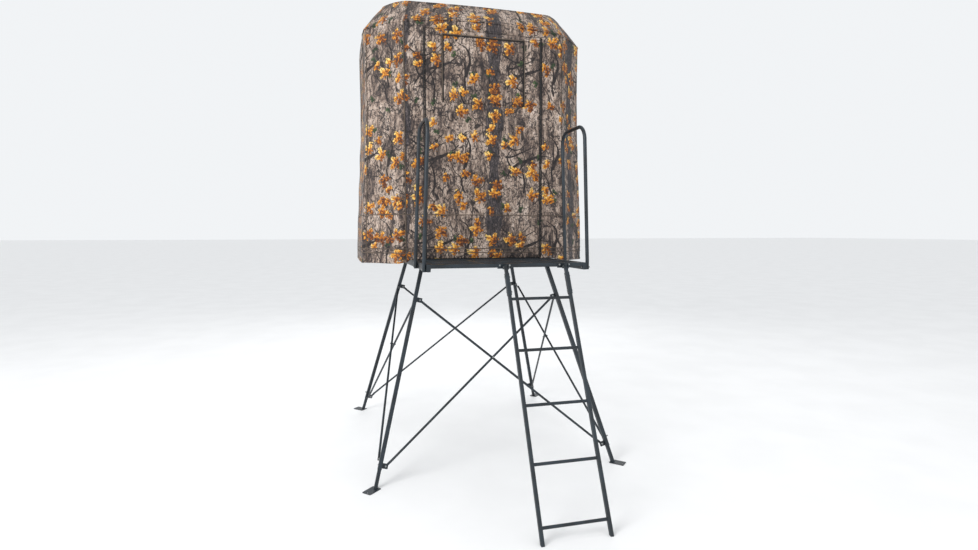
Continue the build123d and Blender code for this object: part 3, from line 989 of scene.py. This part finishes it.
@dataclass
class Finishes:
    """Every finish on the object, built once and shared."""

    coat: bpy.types.Material
    zinc: bpy.types.Material
    cloth: bpy.types.Material
    lining: bpy.types.Material
    binding: bpy.types.Material
    zip_tape: bpy.types.Material
    rubber: bpy.types.Material

    @classmethod
    def build(cls) -> "Finishes":
        """Builds the finishes.

        Returns:
            The set.
        """
        return cls(
            coat=PowderCoat().build(),
            zinc=ZincPlate().build(),
            cloth=LeafPrint().build(),
            lining=PlainWeave("black lining", tone(38, 38, 40)).build(),
            binding=PlainWeave("brown binding", tone(92, 80, 70)).build(),
            zip_tape=PlainWeave("zip tape", tone(22, 22, 24), 0.003).build(),
            rubber=Rubber().build(),
        )


@dataclass
class Cloth:
    """A piece of cloth that follows the walls of the blind."""

    outline: Outline
    hang: Hang
    finishes: Finishes
    thickness: float = 0.0016
    column_step: float = 0.030
    row_step: float = 0.034
    path_step: float = 0.04
    seam_heights: tuple[float, ...] = (2.108, 1.818, 1.783)
    seam_width: float = 0.006

    def panel(self, name: str, stations: Sequence[Station], levels: Sequence[float],
              cuts: Sequence[Opening], lift: float = 0.0) -> bpy.types.Object:
        """Builds a panel of hanging cloth.

        Args:
            name: The object's name.
            stations: The columns.
            levels: The rows.
            cuts: Openings left out of it.
            lift: How far it stands proud.

        Returns:
            The panel.
        """
        rows = len(levels)
        places = [(station, self.hang.height(self.outline, station, level))
                  for station in stations for level in levels]
        points = [self.hang.point(self.outline, station, height, lift) for station, height in places]
        faces: list[tuple[int, ...]] = []
        prints: list[list[tuple[float, float]]] = []
        for column, (first, second) in enumerate(zip(stations, stations[1:])):
            face = second.face
            middle = (first.along + second.along) / 2 - self.outline.starts[face]
            for row in range(rows - 1):
                height = (levels[row] + levels[row + 1]) / 2
                if any(cut.holds(face, middle, height) for cut in cuts):
                    continue
                corner = column * rows + row
                ring = (corner, corner + rows, corner + rows + 1, corner + 1)
                faces.append(ring)
                alongs = (first.along, second.along, second.along, first.along)
                prints.append([(along, points[index].z) for along, index in zip(alongs, ring)])
        used = sorted({index for face in faces for index in face})
        order = {old: new for new, old in enumerate(used)}
        faces = [tuple(order[index] for index in face) for face in faces]
        piece = make_object(name, [points[index] for index in used], faces, prints)
        thicken(piece, self.thickness, self.finishes.cloth, self.finishes.lining)
        return piece

    def tape(self, name: str, path: Sequence[tuple[Station, float]], width: float,
             material: bpy.types.Material, body: Body, lift: float = 0.0012) -> bpy.types.Object:
        """Sews a narrow tape on the cloth along a path.

        Args:
            name: The object's name.
            path: Stations with heights.
            width: The tape's width.
            material: Its finish.
            body: What it moves with.
            lift: How far it stands proud.

        Returns:
            The tape.
        """
        spots = [self.hang.point(self.outline, station, height, lift) for station, height in path]
        points: list[Vector] = []
        run = [0.0]
        for index, (station, _) in enumerate(path):
            before, after = spots[max(index - 1, 0)], spots[min(index + 1, len(spots) - 1)]
            along = (after - before).normalized()
            across = station.outward.cross(along).normalized() * (width / 2)
            crest = station.outward * 0.0010
            points += [spots[index] - across, spots[index] + crest, spots[index] + across]
            if index:
                run.append(run[-1] + (spots[index] - spots[index - 1]).length)
        matched: list[tuple[float, float]] = []
        for index, (station, _) in enumerate(path):
            level = Vector((-station.outward.y, station.outward.x, 0))
            for point in points[index * 3:index * 3 + 3]:
                matched.append((station.along + (point - spots[index]).dot(level), point.z))
        faces: list[tuple[int, ...]] = []
        prints: list[list[tuple[float, float]]] = []
        for index in range(len(path) - 1):
            for strip in (0, 1):
                corner = index * 3 + strip
                ring = (corner, corner + 1, corner + 4, corner + 3)
                left, right = strip * width / 2, (strip + 1) * width / 2
                faces.append(ring)
                plain = [(left, run[index]), (right, run[index]),
                         (right, run[index + 1]), (left, run[index + 1])]
                same = material == self.finishes.cloth
                prints.append([matched[corner] for corner in ring] if same else plain)
        piece = make_object(name, points, faces, prints)
        thicken(piece, 0.0014, material, material)
        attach(piece, body.value)
        return piece

    def upright(self, face: int, distance: float, low: float, high: float) -> list[tuple[Station, float]]:
        """Gives an upright path on a wall.

        Args:
            face: The wall's number.
            distance: Metres along it.
            low: The lower end.
            high: The upper end.

        Returns:
            The path.
        """
        count = max(2, math.ceil((high - low) / self.path_step))
        station = self.outline.at(face, distance)
        return [(station, low + (high - low) * k / count) for k in range(count + 1)]

    def level_run(self, face: int, start: float, end: float, height: float) -> list[tuple[Station, float]]:
        """Gives a level path on a wall.

        Args:
            face: The wall's number.
            start: Metres along it where the path starts.
            end: Metres along it where the path ends.
            height: Its height.

        Returns:
            The path.
        """
        count = max(2, math.ceil((end - start) / self.path_step))
        return [(self.outline.at(face, start + (end - start) * k / count), height) for k in range(count + 1)]


@dataclass
class WallCloth(Cloth):
    """The cloth walls, in one piece round the blind, with their seams and bindings."""

    binding_width: float = 0.022
    doorway_margin: float = 0.011
    mean_rise: float = 0.035

    def build(self, cuts: Sequence[Opening]) -> list[bpy.types.Object]:
        """Builds the walls.

        Args:
            cuts: The openings.

        Returns:
            The walls and everything sewn on them.
        """
        breaks: dict[int, list[float]] = {}
        for cut in cuts:
            breaks.setdefault(cut.face, []).extend((cut.start, cut.end))
        stations = self.outline.stations(self.column_step, breaks)
        door, window = cuts[0], cuts[1]
        marks = [self.hang.hem_front, self.hang.low, window.sill, window.head, door.head, self.hang.eave]
        walls = self.panel("wall_cloth", stations, divided(marks, self.row_step), cuts)
        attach(walls, Body.TOWER.value)
        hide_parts("cover_front", "cover_left", "cover_right", "cover_rear", "cover_corners")
        extras = self.seams(stations, door) + self.bindings(stations, door)
        return [walls, *extras]

    def split_at_door(self, stations: Sequence[Station], door: Opening) -> list[Station]:
        """Leaves out the stations across the doorway.

        Args:
            stations: All stations.
            door: The doorway.

        Returns:
            The stations from the doorway's right side round to its left side.
        """
        edges = (door.end + self.doorway_margin, door.start - self.doorway_margin)
        right, left = (self.outline.at(door.face, edge) for edge in edges)
        first = [station for station in stations[:-1] if station.along > right.along + 0.002]
        last = [station for station in stations[:-1] if station.along < left.along - 0.002]
        return [right, *first, *last, left]

    def seams(self, stations: Sequence[Station], door: Opening) -> list[bpy.types.Object]:
        """Sews the level seams and the upright corner seams.

        Args:
            stations: All stations.
            door: The doorway.

        Returns:
            The seams.
        """
        ring = self.split_at_door(stations, door)
        found = [self.tape(f"level_seam_{k}", [(s, height) for s in ring], self.seam_width,
                           self.finishes.binding, Body.TOWER)
                 for k, height in enumerate(self.seam_heights)]
        for face in range(8):
            station = self.outline.at(face, self.outline.turn)
            low, high = self.hang.hem(self.outline, station) + 0.004, self.hang.edge(station) - 0.004
            found.append(self.tape(f"corner_seam_{face}", self.upright(face, self.outline.turn, low, high),
                                   0.008, self.finishes.binding, Body.TOWER))
        return found

    def bindings(self, stations: Sequence[Station], door: Opening) -> list[bpy.types.Object]:
        """Sews the bindings on the hem and the eave.

        Args:
            stations: All stations.
            door: The doorway.

        Returns:
            The bindings.
        """
        ring = self.split_at_door(stations, door)
        hem = [(s, self.hang.hem(self.outline, s) + 0.010) for s in ring]
        eave = [(s, self.hang.edge(s) - 0.006) for s in stations]
        return [
            self.tape("hem_binding", hem, self.binding_width, self.finishes.cloth, Body.TOWER),
            self.tape("eave_binding", eave, 0.010, self.finishes.cloth, Body.TOWER, 0.002),
        ]


@dataclass
class DoorCloth(Cloth):
    """The cloth door with its zips."""

    zip_width: float = 0.007
    coil_width: float = 0.004
    coil_lift: float = 0.003

    def build(self, door: Opening, window: Opening, gap: float) -> list[bpy.types.Object]:
        """Builds the door.

        Args:
            door: The doorway.
            window: The door's window.
            gap: The play round the door.

        Returns:
            The door and its zips.
        """
        start, end = door.start + gap, door.end - gap
        marks = sorted({start, window.start, window.end, end})
        stations = [self.outline.at(door.face, place) for place in divided(marks, self.column_step)]
        heights = [door.sill + gap, self.hang.low, window.sill, window.head, door.head - gap]
        levels = divided(heights, self.row_step)
        panel = self.flat_panel("door_cloth", stations, levels, [window])
        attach(panel, Body.DOOR.value)
        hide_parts("door_flap")
        extras = self.zips(door, window, gap)
        return [panel, *extras]

    def flat_panel(self, name: str, stations: Sequence[Station], levels: Sequence[float],
                   cuts: Sequence[Opening], lift: float = 0.0) -> bpy.types.Object:
        """Builds a panel whose rows stay at their own heights.

        Args:
            name: The object's name.
            stations: The columns.
            levels: The real heights of the rows.
            cuts: Openings left out of it.
            lift: How far it stands proud.

        Returns:
            The panel.
        """
        straight = replace(self.hang, low=-1.0, high=99.0)
        return replace(self, hang=straight).panel(name, stations, levels, cuts, lift)

    def zips(self, door: Opening, window: Opening, gap: float) -> list[bpy.types.Object]:
        """Sews the zips of the door and of its window.

        Args:
            door: The doorway.
            window: The door's window.
            gap: The play round the door.

        Returns:
            The zips.
        """
        tape = self.finishes.zip_tape
        half = self.zip_width / 2
        low, high = door.sill + gap + 0.004, door.head - gap - 0.004
        found: list[bpy.types.Object] = []
        for name, edge, side in (("left", door.start, 1), ("right", door.end, -1)):
            inner = self.upright(door.face, edge + side * (gap + half + 0.001), low, high)
            outer = self.upright(door.face, edge - side * (half + 0.003), low, high)
            found.append(self.tape(f"door_zip_{name}_moving", inner, self.zip_width, tape, Body.DOOR))
            found.append(self.tape(f"door_zip_{name}_fixed", outer, self.zip_width, tape, Body.TOWER))
            coil_side, body = (-0.0055, Body.TOWER) if name == "left" else (gap + 0.002, Body.DOOR)
            coil = self.upright(door.face, edge + side * coil_side, low, high)
            found.append(self.tape(f"door_zip_{name}_coil", coil, self.coil_width, self.finishes.rubber,
                                   body, self.coil_lift))
        margin = gap + self.zip_width + 0.004
        for index, height in enumerate(self.seam_heights):
            path = self.level_run(door.face, door.start + margin, door.end - margin, height)
            found.append(self.tape(f"door_seam_{index}", path, self.seam_width, self.finishes.binding,
                                   Body.DOOR))
        header = self.level_run(door.face, door.start, door.end, door.head + half + 0.002)
        found.append(self.tape("door_header_tape", header, self.zip_width, self.finishes.cloth, Body.TOWER))
        return found + self.window_zip("window_zip", window, ("left", "right"), Body.DOOR)

    def window_zip(self, name: str, opening: Opening, ends: tuple[str, str],
                   body: Body) -> list[bpy.types.Object]:
        """Sews the fixed half of a window's zip round the window.

        Args:
            name: The start of the tapes' names.
            opening: The window.
            ends: What the tapes at the window's two sides are called.
            body: What the tapes move with.

        Returns:
            The tapes.
        """
        half, tape = self.zip_width / 2, self.finishes.binding
        found: list[bpy.types.Object] = []
        for label, distance in zip(ends, (opening.start - half, opening.end + half)):
            path = self.upright(opening.face, distance, opening.sill, opening.head)
            found.append(self.tape(f"{name}_{label}", path, self.zip_width, tape, body))
        left, right = opening.start - 2 * half, opening.end + 2 * half
        top = self.level_run(opening.face, left, right, opening.head + half)
        return [*found, self.tape(f"{name}_top", top, self.zip_width, tape, body)]


@dataclass
class WindowCloth(DoorCloth):
    """A cloth window flap, hinged at its lower edge, that opens inwards."""

    column_step: float = 0.035
    row_step: float = 0.035
    trim_width: float = 0.006
    trim_inset: float = 0.004

    def build_flap(self, node: str, opening: Opening, body: Body, gap: float) -> list[bpy.types.Object]:
        """Builds one flap.

        Args:
            node: The rigid panel it stands for.
            opening: The window.
            body: What it moves with.
            gap: The play round the flap.

        Returns:
            The flap and the tape along its edges.
        """
        start, end = opening.start + gap, opening.end - gap
        stations = [self.outline.at(opening.face, d) for d in divided([start, end], self.column_step)]
        rows = divided([opening.sill + gap, opening.head - gap], self.row_step)
        flap = self.flat_panel(node.replace("window_flap", "flap_cloth"), stations, rows, [], -0.0010)
        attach(flap, body.value)
        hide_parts(node)
        edge = self.trim_inset
        low, high = opening.sill + gap + 0.002, opening.head - gap - edge
        trims = []
        for name, distance in (("start", start + edge), ("end", end - edge)):
            path = self.upright(opening.face, distance, low, high)
            trims.append(self.tape(f"{flap.name}_trim_{name}", path, self.trim_width, self.finishes.zip_tape,
                                   body, 0.0))
        top = self.level_run(opening.face, start, end, high)
        trims.append(self.tape(f"{flap.name}_trim_top", top, self.trim_width, self.finishes.zip_tape,
                               body, 0.0))
        return [flap, *trims]


@dataclass
class RoofCloth(Cloth):
    """The roof cloth: a steep band above the eave and a shallow crown."""

    column_step: float = 0.035
    rim_inset: float = 0.165
    rim_height: float = 3.912
    rim_rise: float = 0.010
    top_height: float = 3.980
    top_share: float = 0.25
    band_rows: int = 10
    crown_rows: int = 14
    inner_shares: tuple[float, ...] = (0.17, 0.10, 0.04)
    band_row_print: float = 0.027
    seam_print: float = 0.26
    seam_row_print: float = 0.01
    crown_shift: tuple[float, float] = (3.0, 5.0)
    crown_stretch: float = 1.02

    def build(self) -> bpy.types.Object:
        """Builds the roof.

        Returns:
            The roof cloth.
        """
        stations = self.outline.stations(self.column_step, {})
        steps = [k / self.band_rows for k in range(self.band_rows + 1)]
        rings: list[list[Vector]] = [[self.band_point(s, share) for s in stations] for share in steps]
        shares = [1 - (1 - self.top_share) * k / self.crown_rows for k in range(1, self.crown_rows + 1)]
        shares += self.inner_shares
        rings += [[self.crown_point(s, share) for s in stations] for share in shares]
        count = len(stations)
        points = [point for ring in rings for point in ring]
        faces: list[tuple[int, ...]] = []
        prints: list[list[tuple[float, float]]] = []
        for row in range(len(rings) - 1):
            for column in range(count - 1):
                corner = row * count + column
                ring = (corner, corner + 1, corner + count + 1, corner + count)
                faces.append(ring)
                if row < self.band_rows:
                    base = self.hang.eave + row * self.band_row_print
                    rise = base + self.band_row_print
                    low, high = stations[column].along, stations[column + 1].along
                    prints.append([(low, base), (high, base), (high, rise), (low, rise)])
                else:
                    prints.append([self.crown_print(points[i]) for i in ring])
        points.append(Vector((0, self.outline.middle.y, self.top_height)))
        last = (len(rings) - 1) * count
        for column in range(count - 1):
            ring = (last + column, last + column + 1, len(points) - 1)
            faces.append(ring)
            prints.append([self.crown_print(points[i]) for i in ring])
        roof = make_object("roof_cloth", points, faces, prints)
        thicken(roof, self.thickness, self.finishes.cloth, self.finishes.lining)
        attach(roof, Body.TOWER.value)
        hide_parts("cover_roof")
        seam = self.rim_seam(stations)
        LOG.info("roof cloth %.3f m2", self.pattern_area())
        self.pattern_area()
        return roof

    def crown_print(self, point: Vector) -> tuple[float, float]:
        """Lays the print on the crown, seen from above.

        Args:
            point: A point of the crown.

        Returns:
            The cloth coordinates.
        """
        return point.x + self.crown_shift[0], point.y * self.crown_stretch + self.crown_shift[1]

    def pattern_area(self) -> float:
        """Works out the cloth in the flat pieces that the roof is sewn from.

        Returns:
            Square metres of eight bands, eight crown pieces and the flat top.
        """
        eave = [Vector((c.x, c.y, self.hang.eave)) for c in self.outline.corners(0.0)]
        rim = [Vector((c.x, c.y, self.rim_height)) for c in self.outline.corners(self.rim_inset)]
        middle = Vector((0, self.outline.middle.y, self.top_height))
        top = []
        for corner in rim:
            spot = middle.lerp(corner, self.top_share)
            top.append(Vector((spot.x, spot.y, self.top_height)))
        total = 0.0
        for k in range(8):
            n = (k + 1) % 8
            for ring in ((eave[k], eave[n], rim[n], rim[k]), (rim[k], rim[n], top[n], top[k])):
                total += (ring[2] - ring[0]).cross(ring[3] - ring[1]).length / 2
            total += (top[k] - middle).cross(top[n] - middle).length / 2
        return total

    def band_point(self, station: Station, share: float) -> Vector:
        """Gives a point on the band above the eave.

        Args:
            station: The place on the outline.
            share: 0 at the eave, 1 at the rim.

        Returns:
            The point.
        """
        eave = self.hang.point(self.outline, station, self.hang.edge(station))
        rim = self.outline.place(station, self.rim_inset)
        middle = station.midway()
        rim.z = self.rim_height + self.rim_rise * middle
        spot = eave.lerp(rim, share)
        swell = math.sin(math.pi * share)
        ripple = noise.noise(Vector((station.along * 5.0, share * 2.0, 11.0))) * 0.004 * swell
        return spot + station.outward * (0.003 * swell + ripple) + Vector((0, 0, 0.003 * swell))

    def crown_point(self, station: Station, share: float) -> Vector:
        """Gives a point on the crown.

        Args:
            station: The place on the outline.
            share: 1 at the rim, 0 at the middle.

        Returns:
            The point.
        """
        rim = self.band_point(station, 1.0)
        middle = self.outline.middle
        flat = middle + (Vector((rim.x, rim.y, 0)) - middle) * share
        rise = min((1 - share) / (1 - self.top_share), 1.0)
        height = rim.z + (self.top_height - rim.z) * smooth(rise, -0.35, 1.0) ** 1.6
        sag = 0.004 * station.midway() * math.sin(math.pi * rise)
        ripple = noise.noise(Vector((flat.x * 5, flat.y * 5, 2.0))) * 0.0025 * min(rise * 4, 1)
        return Vector((flat.x, flat.y, height - sag + ripple))

    def rim_seam(self, stations: Sequence[Station]) -> bpy.types.Object:
        """Sews the seam between the band and the crown.

        Args:
            stations: All stations.

        Returns:
            The seam.
        """
        points: list[Vector] = []
        for station in stations:
            high, low = self.crown_point(station, 0.994), self.band_point(station, 0.965)
            ridge = self.band_point(station, 1.0) + station.outward * 0.002 + Vector((0, 0, 0.003))
            points += [low + station.outward * 0.001, ridge, high + Vector((0, 0, 0.001))]
        faces: list[tuple[int, ...]] = []
        prints: list[list[tuple[float, float]]] = []
        for index in range(len(stations) - 1):
            low, high = stations[index].along, stations[index + 1].along
            for strip in (0, 1):
                corner = index * 3 + strip
                faces.append((corner, corner + 3, corner + 4, corner + 1))
                base = self.hang.eave + self.seam_print + strip * self.seam_row_print
                rise = base + self.seam_row_print
                prints.append([(low, base), (high, base), (high, rise), (low, rise)])
        seam = make_object("rim_seam", points, faces, prints)
        thicken(seam, 0.0012, self.finishes.cloth, self.finishes.cloth)
        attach(seam, Body.TOWER.value)
        return seam


@dataclass
class TubeFrame:
    """The painted frame and its bolts, which keep their rigid shapes."""

    finishes: Finishes

    def dress(self) -> None:
        """Gives every rigid piece of the frame its finish."""
        for name, node in frame["nodes"].items():
            if node.hide_render:
                continue
            material = self.finishes.zinc if name.endswith("bolts") else self.finishes.coat
            node.data.materials.clear()
            node.data.materials.append(material)


@dataclass
class Studio:
    """Floor, lights and camera."""

    eye: Vector = field(default_factory=lambda: Vector((-1.2551, -4.8392, 1.9621)))
    yaw: float = 14.989
    pitch: float = 4.32
    lens: float = 21.04
    aim: Vector = field(default_factory=lambda: Vector((0, 0.4, 2.0)))
    floor_half: float = 150.0
    surround: float = 0.92

    def build(self) -> None:
        """Builds the studio."""
        self.floor()
        self.sky()
        self.lamp("key_light", Vector((-6.5, -4.5, 5.5)), 4.0, 430.0)
        self.lamp("fill_light", Vector((3.0, -6.5, 4.0)), 5.0, 40.0)
        self.lamp("back_light", Vector((1.5, 6.0, 6.0)), 4.0, 150.0)
        self.camera()

    def floor(self) -> None:
        """Lays a plain floor that reaches far beyond the tower."""
        half = self.floor_half
        points = [Vector((x * half, y * half, 0)) for x, y in ((-1, -1), (1, -1), (1, 1), (-1, 1))]
        square = [(0.0, 0.0), (1.0, 0.0), (1.0, 1.0), (0.0, 1.0)]
        floor = make_object("floor", points, [(0, 1, 2, 3)], [square])
        floor.data.materials.append(StudioFloor().build())

    def sky(self) -> None:
        """Sets an even pale surround."""
        world = bpy.data.worlds.new("surround")
        world.use_nodes = True
        background = world.node_tree.nodes["Background"]
        background.inputs[0].default_value = (0.96, 0.98, 1.0, 1.0)
        background.inputs[1].default_value = self.surround
        bpy.context.scene.world = world
        bpy.context.scene.view_settings.view_transform = "Standard"

    def lamp(self, name: str, place: Vector, size: float, power: float) -> None:
        """Hangs one soft light that points at the blind.

        Args:
            name: The light's name.
            place: Where it hangs.
            size: Its side length.
            power: Its power in watts.
        """
        light = bpy.data.lights.new(name, "AREA")
        light.energy = power
        light.size = size
        made = bpy.data.objects.new(name, light)
        made.location = place
        made.rotation_mode = "QUATERNION"
        made.rotation_quaternion = (self.aim - place).to_track_quat("-Z", "Y")
        bpy.context.scene.collection.objects.link(made)

    def camera(self) -> None:
        """Places the camera."""
        data = bpy.data.cameras.new("view")
        data.lens = self.lens
        data.sensor_width = 36.0
        made = bpy.data.objects.new("view", data)
        made.location = self.eye
        made.rotation_euler = (math.radians(90 - self.pitch), 0, math.radians(-self.yaw))
        bpy.context.scene.collection.objects.link(made)
        bpy.context.scene.camera = made


def build_blind(finishes: Finishes, gap: float = 0.002) -> None:
    """Hangs the blind's cloth: walls, roof, door and window flaps.

    Args:
        finishes: The shared finishes.
        gap: The play round the door and the flaps.
    """
    outline, hang = Outline(), Hang()
    door = outline.opening("door_flap", Wall.FRONT, gap)
    doorway = Opening(door.face, door.start, door.end, 0.0, door.head)
    windows = {
        Body.WINDOW_RIGHT: ("window_flap_right", Wall.RIGHT),
        Body.WINDOW_REAR: ("window_flap_rear", Wall.REAR),
        Body.WINDOW_LEFT: ("window_flap_left", Wall.LEFT),
    }
    openings = {body: outline.opening(node, wall, gap) for body, (node, wall) in windows.items()}
    WallCloth(outline, hang, finishes).build([doorway, *openings.values()])
    RoofCloth(outline, hang, finishes).build()
    peephole = outline.opening("window_flap_door", Wall.FRONT, gap)
    DoorCloth(outline, hang, finishes).build(door, peephole, gap)
    flaps = WindowCloth(outline, hang, finishes)
    flaps.build_flap("window_flap_door", peephole, Body.WINDOW_DOOR, gap)
    for body, (node, _) in windows.items():
        flaps.build_flap(node, openings[body], body, gap)
        flaps.window_zip(f"{node}_zip", openings[body], ("start", "end"), Body.TOWER)


def main() -> None:
    """Builds the whole look."""
    logging.basicConfig(level=logging.INFO)
    finishes = Finishes.build()
    build_blind(finishes)
    TubeFrame(finishes).dress()
    Studio().build()


if __name__ == "__main__":
    main()
